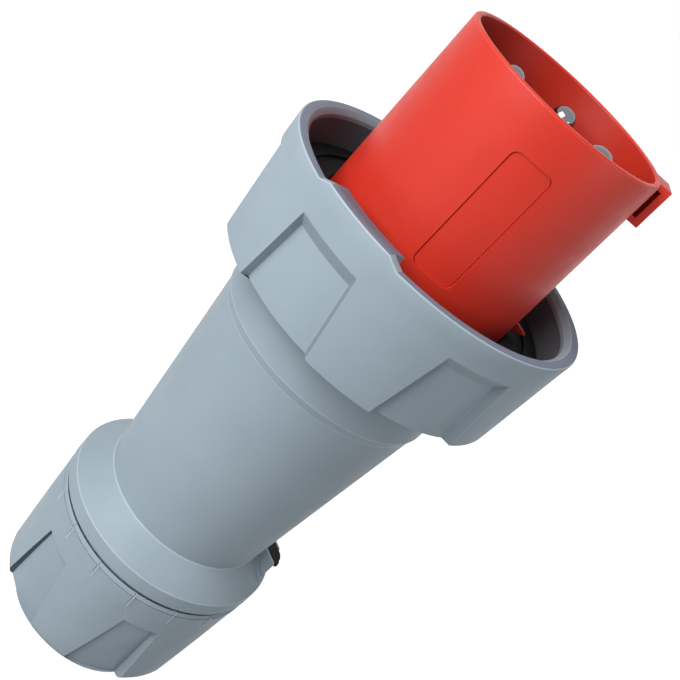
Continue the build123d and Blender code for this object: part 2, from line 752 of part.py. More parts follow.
def make_gland_nut():
    """Grey nut: grip pockets open at the end, ribs at the rim, and a notched crown for the lock."""
    nut_bore = spigot_radius + nut_thread_clearance
    lip_z = nut_length - nut_lip_height
    groove_radius = nut_front_radius - nut_lip_groove_depth
    body = outline([
        (nut_end_hole_radius, 0),
        (nut_rear_radius, 0),
        (nut_front_radius, lip_z - nut_lip_groove),
        (groove_radius, lip_z - nut_lip_groove),
        (groove_radius, lip_z),
        (nut_lip_radius, lip_z),
        (nut_lip_radius, nut_length),
        (crown_outer_radius, nut_length),
        (crown_outer_radius, nut_length + crown_height),
        (crown_inner_radius, nut_length + crown_height),
        (crown_inner_radius, nut_length),
        (nut_bore, nut_length),
        (nut_bore, nut_shoulder_z),
        (nut_shoulder_radius, nut_shoulder_z),
        (nut_end_hole_radius + nut_cone_foot, nut_end_wall),
        (nut_end_hole_radius, nut_end_wall),
    ])
    nut = revolve(soften(body, (nut_rear_radius, 0), nut_end_round), Axis.Z)

    front_z = nut_length - nut_grip_below_front
    floor_rear = (nut_rear_radius - nut_grip_rear_depth, 0)
    floor_front = (nut_front_radius - nut_grip_front_depth, front_z)
    reach = nut_front_radius + cutter_margin
    scoop = turned([
        (line_at(-cutter_margin, floor_rear, floor_front), -cutter_margin),
        (reach, -cutter_margin),
        (reach, front_z),
        floor_front,
    ])
    widening = cutter_margin * (nut_grip_rear_half_width - nut_grip_front_half_width) / front_z
    grip = scoop & side_prism(front_z + cutter_margin, nut_grip_front_half_width - widening,
                              -cutter_margin, nut_grip_rear_half_width + widening,
                              nut_front_radius, nut_grip_cutter_reach, nut_grip_draft)
    for angle in round_ring(nut_grip_count, nut_phase):
        nut -= at_angle(angle, grip)

    rib_top_z = lip_z - nut_lip_groove
    rib = extrude(outline([
        (groove_radius, rib_top_z),
        (nut_front_radius + nut_rib_height, rib_top_z),
        (nut_front_radius - nut_taper * nut_rib_length / rib_top_z, rib_top_z - nut_rib_length),
        (groove_radius - nut_rib_height, rib_top_z - nut_rib_length),
    ]), nut_rib_width / 2, both=True)
    for angle in round_ring(nut_rib_count, nut_rib_phase):
        nut += at_angle(angle, rib)

    notch = block((crown_inner_radius - crown_inner_gap / 2, crown_outer_radius + crown_gap),
                  (-crown_notch_width / 2, crown_notch_width / 2), (nut_length, nut_length + crown_height))
    for angle in round_ring(nut_rib_count):
        nut -= at_angle(angle, notch)
    return nut


def make_cable_seal():
    """Rubber plug with grooves outside that let it close on the cable."""
    radius = spigot_bore - cable_seal_clearance
    floor = radius - cable_seal_groove_depth
    pitch = cable_seal_length / (cable_seal_groove_count + 1)
    points = [(cable_bore_radius, cable_seal_base_z), (radius, cable_seal_base_z)]
    for index in range(cable_seal_groove_count):
        low_z = cable_seal_base_z + pitch * (index + 1) - cable_seal_groove_width / 2
        high_z = low_z + cable_seal_groove_width
        points += [(radius, low_z), (floor, low_z), (floor, high_z), (radius, high_z)]
    points += [(radius, seal_seat_z), (cable_bore_radius + cable_seal_chamfer, seal_seat_z),
               (cable_bore_radius, seal_seat_z - cable_seal_chamfer)]
    return turned(points)


def make_slip_washer():
    """Flat washer that lets the nut turn without twisting the seal."""
    disc = rod(spigot_bore - cage_radius_gap, washer_base_z, cable_seal_base_z)
    return disc - rod(cable_bore_radius + washer_bore_gap, washer_base_z, cable_seal_base_z)


def make_clamp_cage():
    """Collar with fingers that the nut's cone presses on the cable."""
    radius = spigot_bore - cage_radius_gap
    bore = cable_bore_radius + cage_bore_gap
    seat_z = nut_shoulder_z + cage_seat_gap
    finger_end_z = nut_end_wall + cage_finger_above_wall
    tip_radius = line_at(finger_end_z, *nut_cone) - cage_finger_gap
    root_radius = nut_shoulder_radius - cage_finger_gap
    cage = turned([
        (bore, finger_end_z + cage_lead_in),
        (bore + cage_lead_in / 2, finger_end_z),
        (tip_radius, finger_end_z),
        (root_radius, seat_z),
        (radius, seat_z),
        (radius, washer_base_z),
        (bore, washer_base_z),
        (bore, washer_base_z - cage_lead_in),
        (root_radius - cage_finger_wall, seat_z + cage_lead_in / 2),
        (bore + cage_lead_in / 4, finger_end_z + 2 * cage_lead_in),
    ])
    slot = block((bore - cage_lead_in, radius), (-cage_finger_slot / 2, cage_finger_slot / 2),
                 (0, seat_z - cage_seat_gap))
    for angle in round_ring(cage_finger_count):
        cage -= at_angle(angle, slot)
    return cage


def main():
    """Write one STEP file for each piece."""
    os.makedirs("parts", exist_ok=True)
    pieces = {
        "contact_carrier": make_contact_carrier(),
        "pin_pilot": make_pilot_pin(),
        "terminal_screws": make_terminal_screws(),
        "pilot_screw": make_pilot_screw(),
        "pin_retainer": make_pin_retainer(),
        "retainer_screws": make_retainer_screws(),
        "carrier_screws": make_carrier_screws(),
        "carrier_o_ring": make_carrier_o_ring(),
        "face_seal": make_face_seal(),
        "housing": make_housing(),
        "lock_slider": make_lock_slider(),
        "locking_ring": make_locking_ring(),
        "gland_nut": make_gland_nut(),
        "cable_seal": make_cable_seal(),
        "slip_washer": make_slip_washer(),
        "clamp_cage": make_clamp_cage(),
    }
    pieces.update(make_pin_set())
    for name, shape in pieces.items():
        export_step(shape, f"parts/{name}.step")


main()
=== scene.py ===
import math
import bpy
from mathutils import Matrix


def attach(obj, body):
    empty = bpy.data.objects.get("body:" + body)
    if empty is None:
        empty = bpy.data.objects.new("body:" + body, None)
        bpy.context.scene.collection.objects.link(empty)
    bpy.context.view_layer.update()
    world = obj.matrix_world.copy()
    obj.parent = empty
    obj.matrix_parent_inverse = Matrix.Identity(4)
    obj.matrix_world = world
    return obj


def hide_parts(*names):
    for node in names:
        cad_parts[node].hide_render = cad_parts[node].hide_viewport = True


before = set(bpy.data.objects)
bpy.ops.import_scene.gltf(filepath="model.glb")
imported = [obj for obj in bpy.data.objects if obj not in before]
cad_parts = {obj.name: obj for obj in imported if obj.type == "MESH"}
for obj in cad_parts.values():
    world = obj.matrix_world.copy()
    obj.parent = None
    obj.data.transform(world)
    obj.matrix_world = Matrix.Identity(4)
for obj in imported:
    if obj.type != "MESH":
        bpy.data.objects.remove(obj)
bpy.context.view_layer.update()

from types import SimpleNamespace

import bmesh
import bpy
import numpy as np
from mathutils import Matrix, Vector


# Contact carrier: the red shroud, its key and the floor that holds the pins, moulded in one shot from
# glass-filled polyamide. The tool is spark-eroded, which leaves an even satin grain, and the parting
# edges are rounded. Three screws hold it to the housing from the front.
def linear(hex_colour):
    """sRGB hex colour as linear red, green, blue and alpha."""
    channels = [int(hex_colour[i:i + 2], 16) / 255 for i in (1, 3, 5)]
    return [c / 12.92 if c <= 0.04045 else ((c + 0.055) / 1.055) ** 2.4 for c in channels] + [1.0]


def add(tree, kind, settings=None, links=None):
    """Add a node, give its sockets and properties their values, and link its inputs."""
    node = tree.nodes.new(kind)
    for key, value in (settings or {}).items():
        if key in node.inputs:
            node.inputs[key].default_value = value
        else:
            setattr(node, key, value)
    for key, source in (links or {}).items():
        tree.links.new(source, node.inputs[key])
    return node


def empty_tree(owner):
    """Node tree of a new material or world, without the nodes that Blender puts in it."""
    owner.use_nodes = True
    owner.node_tree.nodes.clear()
    return owner.node_tree


def moulded(name, hex_base, hex_patch, roughness, grain_mm, grain_depth_mm, ior=1.53, specular=0.18):
    """Moulded plastic or rubber: a slow change of tone and gloss, and the grain of the tool."""
    # Real grain is about 0.1 mm wide, and is drawn about three times as coarse, or it wouldn't show
    tone_mm = 38
    wear_mm = 6
    gloss_swing = 0.06
    material = bpy.data.materials.new(name)
    tree = empty_tree(material)
    place = add(tree, "ShaderNodeTexCoord").outputs["Object"]
    flow = add(tree, "ShaderNodeTexNoise", {"Scale": 1000 / tone_mm, "Detail": 4.0}, {"Vector": place})
    tone = add(tree, "ShaderNodeMapRange", {"From Min": 0.35, "From Max": 0.65},
               {"Value": flow.outputs["Fac"]})
    colour = add(tree, "ShaderNodeMix", {"data_type": "RGBA", "A": linear(hex_base), "B": linear(hex_patch)},
                 {"Factor": tone.outputs["Result"]})
    rub = add(tree, "ShaderNodeTexNoise", {"Scale": 1000 / wear_mm, "Detail": 5.0, "Roughness": 0.6},
              {"Vector": place})
    gloss = add(tree, "ShaderNodeMapRange",
                {"From Min": 0.3, "From Max": 0.7,
                 "To Min": roughness - gloss_swing, "To Max": roughness + gloss_swing},
                {"Value": rub.outputs["Fac"]})
    grain = add(tree, "ShaderNodeTexNoise", {"Scale": 1000 / grain_mm, "Detail": 2.0}, {"Vector": place})
    bump = add(tree, "ShaderNodeBump", {"Strength": 0.5, "Distance": grain_depth_mm / 1000},
               {"Height": grain.outputs["Fac"]})
    surface = add(tree, "ShaderNodeBsdfPrincipled", {"IOR": ior, "Specular IOR Level": specular},
                  {"Base Color": colour.outputs["Result"], "Roughness": gloss.outputs["Result"],
                   "Normal": bump.outputs["Normal"]})
    add(tree, "ShaderNodeOutputMaterial", None, {"Surface": surface.outputs["BSDF"]})
    return material


def spread(count, fixed):
    """Angles of all columns in degrees: some are fixed as {index: degrees}, the rest lie between them."""
    wrapped = {key % count: angle + (key % count - key) / count * 360 for key, angle in fixed.items()}
    keys = sorted(wrapped)
    angles = [wrapped[keys[-1]] - 360] + [wrapped[key] for key in keys] + [wrapped[keys[0]] + 360]
    return np.interp(range(count), [keys[-1] - count] + keys + [keys[0] + count], angles)


def even(count, radius, height):
    """Plain row of columns."""
    return [(360 * i / count, radius, height) for i in range(count)]


def skin(shell, rows, centre=(0.0, 0.0)):
    """Closed surface through rows of (degrees, radius, height), joined round and from last to first."""
    grid = [[shell.verts.new((centre[0] + r * math.cos(math.radians(a)),
                              centre[1] + r * math.sin(math.radians(a)), z)) for a, r, z in row]
            for row in rows]
    count = len(grid[0])
    for low, high in zip(grid, grid[1:] + grid[:1]):
        for i in range(count):
            j = (i + 1) % count
            shell.faces.new((low[i], low[j], high[j], high[i]))


def rounded(corners, steps=4):
    """Closed outline of (radius, height) with each (radius, height, rounding) corner drawn as an arc."""
    points = []
    for index, (x, z, radius) in enumerate(corners):
        if radius == 0:
            points.append((x, z))
            continue
        corner = Vector((x, z))
        back = (Vector(corners[index - 1][:2]) - corner).normalized()
        ahead = (Vector(corners[(index + 1) % len(corners)][:2]) - corner).normalized()
        half = back.angle(ahead) / 2
        start = corner + back * radius / math.tan(half)
        end = corner + ahead * radius / math.tan(half)
        centre = corner + (back + ahead).normalized() * radius / math.sin(half)
        for step in range(steps + 1):
            ray = (start - centre).lerp(end - centre, step / steps).normalized() * radius
            points.append(tuple(centre + ray))
    return points


def turn(shell, corners, count=160, angle=0.0, distance=0.0):
    """Turned body from (radius, height, rounding) corners, at an angle and a distance from the axis."""
    centre = (distance * math.cos(math.radians(angle)), distance * math.sin(math.radians(angle)))
    skin(shell, [even(count, r, z) for r, z in rounded(corners)], centre)


def rod(shell, radius, low_z, high_z, angle, distance, count, low_rounding=0, high_rounding=0):
    """Round rod between two heights."""
    turn(shell, [(0.0, low_z, 0), (radius, low_z, low_rounding), (radius, high_z, high_rounding),
                 (0.0, high_z, 0)], count, angle, distance)


def slab(shell, corners, low_y, high_y, angle=0.0):
    """Flat plate with the outline of (x, z) corners between two y values, turned about the axis."""
    matrix = Matrix.Rotation(math.radians(angle), 3, "Z")
    sides = [[shell.verts.new(matrix @ Vector((x, y, z))) for x, z in corners] for y in (low_y, high_y)]
    shell.faces.new(sides[0])
    shell.faces.new(list(reversed(sides[1])))
    for i in range(len(corners)):
        j = (i + 1) % len(corners)
        shell.faces.new((sides[0][j], sides[0][i], sides[1][i], sides[1][j]))


def solid_mesh(name, shell):
    """Mesh in metres from a shell in mm, with its seams closed and its normals outwards."""
    bmesh.ops.scale(shell, vec=(0.001, 0.001, 0.001), verts=shell.verts)
    bmesh.ops.remove_doubles(shell, verts=shell.verts, dist=2e-6)
    bmesh.ops.dissolve_degenerate(shell, dist=1e-6, edges=shell.edges)
    bmesh.ops.recalc_face_normals(shell, faces=shell.faces)
    mesh = bpy.data.meshes.new(name)
    shell.to_mesh(mesh)
    shell.free()
    return mesh


def cut_out(piece, cutter):
    """Cut the shell of a cutter out of a piece."""
    tool = bpy.data.objects.new(piece.name + "_tool", solid_mesh(piece.name + "_tool", cutter))
    bpy.context.scene.collection.objects.link(tool)
    cut = piece.modifiers.new("cut", "BOOLEAN")
    cut.operation = "DIFFERENCE"
    cut.solver = "EXACT"
    cut.use_self = True
    cut.object = tool
    result = bpy.data.meshes.new_from_object(piece.evaluated_get(bpy.context.evaluated_depsgraph_get()))
    piece.modifiers.clear()
    piece.data = result
    bpy.data.objects.remove(tool)


def finished(name, shell, material, edge_mm=0, cutter=None, highlight=None, highlight_from=0.0):
    """Object from a shell, cut by another, with its edges rounded by edge_mm.

    The second material, a lighter colour that paints a highlight, goes on those edges, and on faces above the
    given height that are narrow as a rounding."""
    rounding_mm = 0.28
    edge_angle = math.radians(32)
    piece = bpy.data.objects.new(name, solid_mesh(name, shell))
    bpy.context.scene.collection.objects.link(piece)
    if cutter:
        cut_out(piece, cutter)
    mesh = piece.data
    mesh.materials.clear()
    mesh.materials.append(material)
    # Painted highlight: a lighter material on the rounded edges and narrow faces stands in for light caught
    # by the roundings
    if highlight:
        mesh.materials.append(highlight)
        for face in mesh.polygons:
            longest = max((mesh.vertices[a].co - mesh.vertices[b].co).length for a, b in face.edge_keys)
            narrow = face.area < rounding_mm / 1000 * longest
            face.material_index = int(narrow and face.center.z >= highlight_from / 1000)
    mesh.polygons.foreach_set("use_smooth", [True] * len(mesh.polygons))
    mesh.set_sharp_from_angle(angle=edge_angle)
    if edge_mm:
        bevel = piece.modifiers.new("edges", "BEVEL")
        bevel.width = edge_mm / 1000
        bevel.segments = 2
        bevel.limit_method = "ANGLE"
        bevel.angle_limit = edge_angle
        bevel.harden_normals = True
        # Painted highlight: the bevel's rounded faces take the lighter material
        if highlight:
            bevel.material = 1
    return piece


def repaint(piece, material, chosen):
    """Give a material to the faces that chosen picks.

    It is asked with each face's centre and radius in mm, and with how far the face looks outward, along the
    turn and up, each from -1 to 1."""
    piece.data.materials.append(material)
    for face in piece.data.polygons:
        x, y, z = face.center * 1000
        nx, ny, nz = face.normal
        radius = max(math.hypot(x, y), 0.001)
        place = SimpleNamespace(x=x, y=y, z=z, radius=radius, outward=(nx * x + ny * y) / radius,
                                along=(ny * x - nx * y) / radius, up=nz)
        if chosen(place):
            face.material_index = len(piece.data.materials) - 1


# Signal red with a satin grain. Its edges get a lighter red, a painted highlight, and the inside of the
# shroud with its floor a darker red, painted shade.
red = moulded("glass_filled_polyamide_red", "#C22E1F", "#BB2A1B", 0.44, 0.30, 0.010, specular=0.3)
red_painted_highlight = moulded("polyamide_red_painted_edge_highlight", "#CF4533", "#CA402E", 0.34, 0.30, 0.006)
red_painted_shade = moulded("polyamide_red_painted_shade_inside", "#A32417", "#9C2114", 0.42, 0.30, 0.010)

columns = 192
rim_z = 249.0
# Painted highlight: narrow faces above this height, at the rim, get the lighter red
highlight_rim_z = 246.0
rim_rounding = 0.7
shroud_radius = 35.5
shroud_bore = 33.5
floor_high_z = 192.0
floor_low_z = 182.0
carrier_low_z = 165.6
seat_radius = 39.0
seat_low_z = 175.6
seat_high_z = 179.0
panel_column = 144
panel_half_width = 7.0
panel_low_z = 194.0
panel_high_z = 236.0
panel_corner = 2.5
panel_depth = 0.4
panel_groove = 0.3


def shroud_row(z, half_width, depth):
    """Row of the shroud's outside with the recessed panel half_width to each side of 270 degrees."""
    fixed = {i: 360 * i / columns for i in (0, 48, panel_column - 10, panel_column + 10)}
    for column, inset in ((6, 0), (5, 0.1), (4, 0.4)):
        reach = math.degrees(max(half_width - inset, 0.1 * column) / shroud_radius)
        fixed.update({panel_column - column: 270 - reach, panel_column + column: 270 + reach})
    depths = {column: depth for column in range(5)}
    depths[5] = depth + panel_groove if depth else 0
    return [(a, shroud_radius - depths.get(abs(i - panel_column), 0), z)
            for i, a in enumerate(spread(columns, fixed))]


narrow = panel_half_width - panel_corner
corner_arc = [(panel_corner * (1 - math.cos(t)), narrow + panel_corner * math.sin(t))
              for t in (math.radians(18 * step) for step in range(6))]
rows = [even(columns, shroud_radius, seat_high_z), shroud_row(panel_low_z, narrow, 0)]
rows += [shroud_row(panel_low_z + rise, half, panel_depth) for rise, half in corner_arc]
rows += [shroud_row(panel_high_z - rise, half, panel_depth) for rise, half in reversed(corner_arc)]
rows += [shroud_row(panel_high_z, narrow, 0)]
rows += [even(columns, r, z) for r, z in rounded([
    (shroud_radius, 240.0, 0), (shroud_radius, rim_z, rim_rounding), (shroud_bore, rim_z, rim_rounding),
    (shroud_bore, floor_high_z, 1.0), (9.0, floor_high_z, 0), (0.0, floor_high_z, 0), (0.0, floor_low_z, 0),
    (shroud_bore, floor_low_z, 0), (shroud_bore, carrier_low_z, 0), (shroud_radius, carrier_low_z, 0),
    (shroud_radius, seat_low_z, 0), (seat_radius, seat_low_z, 0), (seat_radius, seat_high_z, 0)])]
shell = bmesh.new()
skin(shell, rows)

# The key is a square loop at the rim, open towards the shroud, with a thin web in its opening
key_root = 34.8
key_reach = 39.3
key_low_z = 235.2
key_high_z = 248.95
key_half_width = 5.0
opening_reach = 37.0
opening_low_z = 237.2
opening_high_z = 247.0
web_overlap = 0.2
web_half_width = 0.6
slab(shell, [(key_root, key_low_z), (key_reach, key_low_z), (key_reach, key_high_z), (key_root, key_high_z),
             (key_root, opening_high_z), (opening_reach, opening_high_z), (opening_reach, opening_low_z),
             (key_root, opening_low_z)], -key_half_width, key_half_width)
slab(shell, [(key_root, opening_low_z - web_overlap),
             (opening_reach + web_overlap, opening_low_z - web_overlap),
             (opening_reach + web_overlap, opening_high_z + web_overlap),
             (key_root, opening_high_z + web_overlap)], -web_half_width, web_half_width)

# A pointed tooth stands over the face seal in line with the key
tooth_root = 34.5
tooth_reach = 41.2
tooth_low_z = 185.0
tooth_high_z = 189.4
tooth_half_width = 1.2
slab(shell, [(tooth_root, tooth_low_z), (tooth_reach, (tooth_low_z + tooth_high_z) / 2),
             (tooth_root, tooth_high_z)], -tooth_half_width, tooth_half_width)

# Each pin is given by its angle, its distance from the axis and its radius, and stands in a low boss
pin_circle = 18.3
pin_places = {"pin_earth": (0, pin_circle, 5.0), "pin_l1": (72, pin_circle, 4.0),
              "pin_l2": (144, pin_circle, 4.0), "pin_l3": (216, pin_circle, 4.0),
              "pin_neutral": (288, pin_circle, 4.0), "pin_pilot": (0, 0.0, 3.0)}
boss_wall = 2.2
boss_low_z = 189.0
boss_high_z = 193.2
pin_room = 0.6
screw_angles = (36, 180, 324)
screw_circle = 29.5
recess_radius = 3.6
recess_low_z = 188.6
cutter_low_z = 180.0
cutter_high_z = 194.0
cutter = bmesh.new()
for angle, distance, radius in pin_places.values():
    rod(shell, radius + boss_wall, boss_low_z, boss_high_z, angle, distance, 64, high_rounding=0.4)
    rod(cutter, radius + pin_room, cutter_low_z, cutter_high_z, angle, distance, 64)
for angle in screw_angles:
    rod(cutter, recess_radius, recess_low_z, cutter_high_z, angle, screw_circle, 48)
carrier = finished("carrier_moulding", shell, red, edge_mm=0.25, cutter=cutter, highlight=red_painted_highlight,
                   highlight_from=highlight_rim_z)
# Painted shade: the bore and floor of the shroud get the darker red
repaint(carrier, red_painted_shade, lambda at: at.radius < shroud_bore + 0.1 and at.z > floor_high_z - 0.5)
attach(carrier, "body")
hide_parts("contact_carrier")


# Locking ring: grey glass-filled polyamide, moulded with six grip pockets that are open at the rear and
# two bayonet lugs at the front. Thin walls and ribs at the rear keep the moulding even in thickness.

# Blue-grey with a satin grain, and a lighter, smoother grey on its edges: a painted highlight
grey = moulded("glass_filled_polyamide_grey", "#8E9CA6", "#8896A0", 0.50, 0.35, 0.012)
grey_painted_highlight = moulded("polyamide_grey_painted_edge_highlight", "#A3B1BA", "#9FADB6", 0.36, 0.35, 0.006)

per_grip = columns // 6
per_lug = columns // 2
per_rib = columns // 12
ring_rear_z = 158.6
ring_front_z = 196.2
ring_rear_radius = 53.3
ring_front_radius = 55.5
ring_front_rounding = 0.8
pocket_floor_high_z = 182.6
pocket_high_z = 186.8
pocket_depth = 2.8
pocket_rear_half = 16.1
pocket_front_half = 12.2
pocket_lean_degrees = 0.52
pocket_draft_degrees = 1.7
lug_places = ((33, 61.5), (129, 241.5))
lug_foot_half = 17.0
lug_half = 12.8
lug_rise = 2.0
ring_rib_half = 0.9


def off_centre(column, every, first=0):
    """Columns from the nearest of the columns first, first + every and so on, with its sign."""
    return (column - first + every // 2) % every - every // 2


def ring_wall(z):
    """Radius of the ring's tapered outside."""
    share = (z - ring_rear_z) / (ring_front_z - ring_rear_z)
    return ring_rear_radius + (ring_front_radius - ring_rear_radius) * share


def ring_grip_row(z, share):
    """Row across the six grip pockets, at a share of their full depth."""
    height = (z - ring_rear_z) / (pocket_high_z - ring_rear_z)
    half_mm = pocket_rear_half + (pocket_front_half - pocket_rear_half) * height
    half = math.degrees(math.asin(half_mm / ring_wall(z)))
    fixed = {}
    for k in range(6):
        low = 60 * k - half
        high = 60 * k + half
        fixed.update({per_grip * k - 8: low, per_grip * k - 7: low + pocket_lean_degrees * share,
                      per_grip * k + 7: high - pocket_draft_degrees * share, per_grip * k + 8: high})
    return [(a, ring_wall(z) - (pocket_depth * share if abs(off_centre(i, per_grip)) <= 7 else 0), z)
            for i, a in enumerate(spread(columns, fixed))]


def ring_front_row(radius, z, rise, lug_radius, lug_z):
    """Row of the ring's front. Columns inside a lug have their own radius and height, and ramps join them."""
    fixed = {}
    for centre, middle in lug_places:
        foot, wall, shelf = (math.degrees(math.asin(w / r)) for w, r in
                             ((lug_foot_half, radius), (lug_half, radius), (lug_half, lug_radius)))
        for side in (-1, 1):
            fixed.update({centre + 11 * side: middle + (foot + 1.2) * side,
                          centre + 10 * side: middle + foot * side,
                          centre + 8 * side: middle + wall * side,
                          centre + 7 * side: middle + shelf * side})
    row = []
    for i, a in enumerate(spread(columns, fixed)):
        off = abs(off_centre(i, per_lug, lug_places[0][0]))
        lift = rise * min(max((10 - off) / 2, 0), 1)
        row.append((a, lug_radius, lug_z) if off <= 7 else (a, radius, z + lift))
    return row


def ring_core_row(radius, z):
    """Row of the rear cavities, with a rib between each two of them."""
    half = math.degrees(math.asin(ring_rib_half / radius))
    fixed = {}
    for k in range(12):
        middle = 15 + 30 * k
        centre = per_rib * k + 8
        fixed.update({centre - 2: middle - half, centre - 1: middle - half, centre: middle,
                      centre + 1: middle + half, centre + 2: middle + half})
    return [(a, radius, ring_rear_z if abs(off_centre(i, per_rib, 8)) <= 1 else z)
            for i, a in enumerate(spread(columns, fixed))]


pocket_floor_height = pocket_floor_high_z - ring_rear_z
rows = [ring_grip_row(ring_rear_z + pocket_floor_height * step / 4, 1) for step in range(5)]
rows += [ring_grip_row(pocket_high_z, 0)]
rows += [ring_front_row(ring_wall(z), z, 0, ring_wall(z), z) for z in (189.5, 192.0)]
for t in (0, 30, 45, 60, 90):
    r = ring_front_radius - ring_front_rounding * (1 - math.cos(math.radians(t)))
    z = ring_front_z - ring_front_rounding * (1 - math.sin(math.radians(t)))
    rows.append(ring_front_row(r, z, lug_rise, r, z + lug_rise))

# Inwards from the rim runs a chamfer between the lugs, and beside it the flat top of each lug
rim_inner = 52.3
ring_bore = 50.68
shelf_bore = 45.5
shelf_low_z = 193.0
rows += [ring_front_row(radius, z, lug_rise, lug_radius, lug_z) for radius, z, lug_radius, lug_z in (
    (rim_inner, ring_front_z, rim_inner, 198.2), (52.2, 196.1, 52.2, 198.18),
    (50.8, 194.7, 45.6, 197.0), (50.7, 194.5, shelf_bore, 196.95))]
rows += [ring_front_row(ring_bore, shelf_low_z, 0, shelf_bore, shelf_low_z),
         ring_front_row(ring_bore, shelf_low_z, 0, ring_bore, shelf_low_z)]

# Behind the front lies the lip that grips the housing's flange, and behind the lip the ribbed cavities
room_bore = 50.2
lip_front_z = 171.7
lip_rear_z = 163.3
lip_bore = 40.6
skirt_bore = 42.2
cavity_inner = 44.4
cavity_outer = 48.2
cavity_high_z = 168.5
rows += [even(columns, r, z) for r, z in (
    (room_bore, lip_front_z), (lip_bore, lip_front_z), (lip_bore, lip_rear_z), (skirt_bore, lip_rear_z),
    (skirt_bore, ring_rear_z))]
rows += [ring_core_row(cavity_inner, ring_rear_z), ring_core_row(cavity_inner, cavity_high_z),
         ring_core_row(cavity_outer, cavity_high_z), ring_core_row(cavity_outer, ring_rear_z)]
shell = bmesh.new()
skin(shell, rows)
ring = finished("bayonet_ring", shell, grey, edge_mm=0.4, highlight=grey_painted_highlight)

# The flat front, one wall of each pocket and the bore get darker, matt greys: painted shade where these faces
# fall in less light
grey_painted_shade_face = moulded("polyamide_grey_painted_shade_face", "#727B8A", "#6D7685", 0.62, 0.35, 0.012)
grey_painted_shade_wall = moulded("polyamide_grey_painted_shade_wall", "#76828B", "#717D86", 0.60, 0.35, 0.02)
grey_painted_shade_bore = moulded("polyamide_grey_painted_shade_bore", "#5C6268", "#575D63", 0.62, 0.35, 0.015)
repaint(ring, grey_painted_shade_face, lambda at: at.z > 195.4 and at.up > 0.93)
repaint(ring, grey_painted_shade_wall, lambda at: at.z < 190 and at.radius > 50.3 and at.along < -0.4)
repaint(ring, grey_painted_shade_bore, lambda at: at.outward < -0.5 and at.radius < 51 and at.z < 193.5)
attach(ring, "ring")
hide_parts("locking_ring")


# Gland nut: the same grey polyamide, moulded with six grip pockets, sixteen fine marks at the lip and a
# notched crown that the lock drops into. It screws on the housing's spigot and presses the clamp.
nut_rear_radius = 37.2
nut_lip_radius = 39.9
nut_lip_z = 44.6
nut_rounding = 4.3
grip_angle = -9.9
grip_high_z = 33.5
grip_low_half = 12.4
grip_high_half = 11.4
grip_top_half = 6.9
grip_lean_degrees = 0.45
shallow_rear = 2.3
shallow_top = 1.2
deep_rear = 4.1
deep_top = 2.1
end_rim_z = 1.05
end_rim_inset = 0.1
end_rim_step = 1.9
per_mark = columns // 16
mark_angle = 5.3
mark_half = 0.5
crown_radius = 37.3
crown_bore = 34.5
crown_high_z = 50.4
notch_low_z = 47.3
notch_half = 1.6
thread_room = 33.0
thread_floor_z = 19.6
cable_bore = 20.5
cone_low_z = 6.0


def nut_taper(z):
    """Radius of the nut's tapered outside."""
    return nut_rear_radius + (nut_lip_radius - nut_rear_radius) * z / nut_lip_z


def nut_wall(z):
    """Radius of the nut's outside with its rounded rear edge."""
    below = max(nut_rounding - z, 0)
    return nut_taper(z) - nut_rounding + math.sqrt(nut_rounding ** 2 - below ** 2)


def nut_grip_row(z, share):
    """Row across the six grip pockets: shallow at one side, deep at the other, with a thin rim behind."""
    back = min(z, grip_high_z) / grip_high_z
    radius = nut_wall(max(z, nut_rounding))
    low = math.degrees((grip_low_half + (grip_top_half - grip_low_half) * back) / radius)
    high = math.degrees((grip_high_half + (grip_top_half - grip_high_half) * back) / radius)
    lean = grip_lean_degrees * share
    shallow = shallow_rear + (shallow_top - shallow_rear) * back
    deep = deep_rear + (deep_top - deep_rear) * back
    fixed = {}
    for k in range(6):
        middle = 60 * k + grip_angle
        centre = per_grip * k - 5
        fixed.update({centre - 7: middle - low, centre - 6: middle - low + lean,
                      centre + 6: middle + high - lean, centre + 7: middle + high})
    row = []
    for i, a in enumerate(spread(columns, fixed)):
        off = off_centre(i, per_grip, -5)
        across = (off + 6) / 12
        odd = (i + 5 + per_grip // 2) // per_grip % 2
        step = across if odd else 1 - across
        if z > end_rim_z:
            floor = nut_taper(z) - shallow * (1 - across) - deep * across
        else:
            floor = nut_wall(z) - end_rim_inset - end_rim_step * step ** 2
        row.append((a, min(nut_wall(z), floor) if share and abs(off) <= 6 else nut_wall(z), z))
    return row


def nut_mark_row(radius, z, dip, rise):
    """Row across the sixteen marks at the lip, each a fine groove with a fine rib beside it."""
    half = math.degrees(mark_half / radius)
    heights = {2: -dip, 3: rise, 4: rise}
    fixed = {}
    for k in range(16):
        for column, share in ((1, -1.0), (2, -0.45), (3, 0.1), (4, 0.55), (5, 1.0)):
            fixed[per_mark * k + column] = mark_angle + 22.5 * k + half * share
    return [(a, radius + heights.get(i % per_mark, 0), z) for i, a in enumerate(spread(columns, fixed))]


def crown_row(radius, z):
    """Row at the top of the crown, with its notches down to the nut's face."""
    half = math.degrees(notch_half / radius)
    fixed = {}
    for k in range(16):
        middle = 22.5 * k
        fixed.update({per_mark * k - 2: middle - half, per_mark * k - 1: middle - half,
                      per_mark * k + 1: middle + half, per_mark * k + 2: middle + half})
    return [(a, radius, min(z, notch_low_z) if abs(off_centre(i, per_mark)) <= 1 else z)
            for i, a in enumerate(spread(columns, fixed))]


